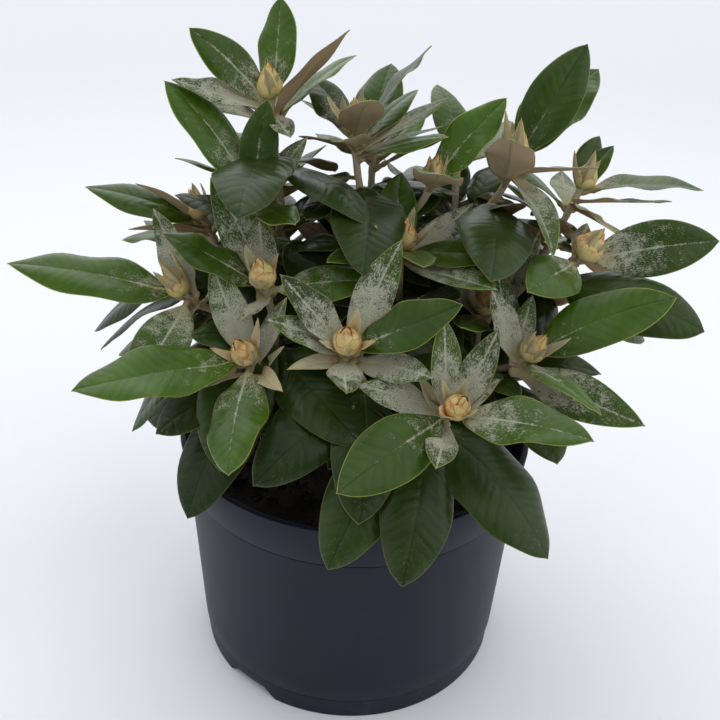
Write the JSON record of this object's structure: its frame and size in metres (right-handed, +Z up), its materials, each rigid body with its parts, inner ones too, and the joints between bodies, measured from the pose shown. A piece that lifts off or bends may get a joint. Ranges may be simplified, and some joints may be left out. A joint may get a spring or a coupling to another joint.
{
  "type": "potted rhododendron shrub",
  "caption": "Young evergreen rhododendron with felted leaf whorls and pointed buds, growing from a short branching trunk in a plain round nursery pot of soil.",
  "frame": {"origin": "middle of the pot's flat underside, on the surface that the pot stands on", "axes": "+Z up along the pot's axis; +Y away from the viewer of the plant's front; +X to that viewer's right"},
  "size_m": [0.3538, 0.284, 0.3436],
  "materials": {
    "pot": "satin black moulded plastic, faintly blue, with light scuffs",
    "soil": "dark crumbly moist potting soil",
    "bark": "tan-grey young bark, finely fissured",
    "foliage": "deep green leaves, the young ones silvery with felt above and tan below"
  },
  "bodies": {
    "root": {"pot": "pot", "soil": "soil", "trunk": "bark", "bough_front": "bark", "bough_front_left": "bark", "bough_left": "bark", "bough_upper_left": "bark", "bough_top": "bark", "bough_middle": "bark", "bough_right_low": "bark", "bough_right": "bark", "bough_upper_right": "bark", "bough_back_left": "bark", "bough_back": "bark", "bough_back_right": "bark", "foliage_front": "foliage", "foliage_front_left": "foliage", "foliage_left": "foliage", "foliage_upper_left": "foliage", "foliage_top": "foliage", "foliage_middle": "foliage", "foliage_right_low": "foliage", "foliage_right": "foliage", "foliage_upper_right": "foliage", "foliage_back_left": "foliage", "foliage_back": "foliage", "foliage_back_right": "foliage"}
  },
  "joints": []
}
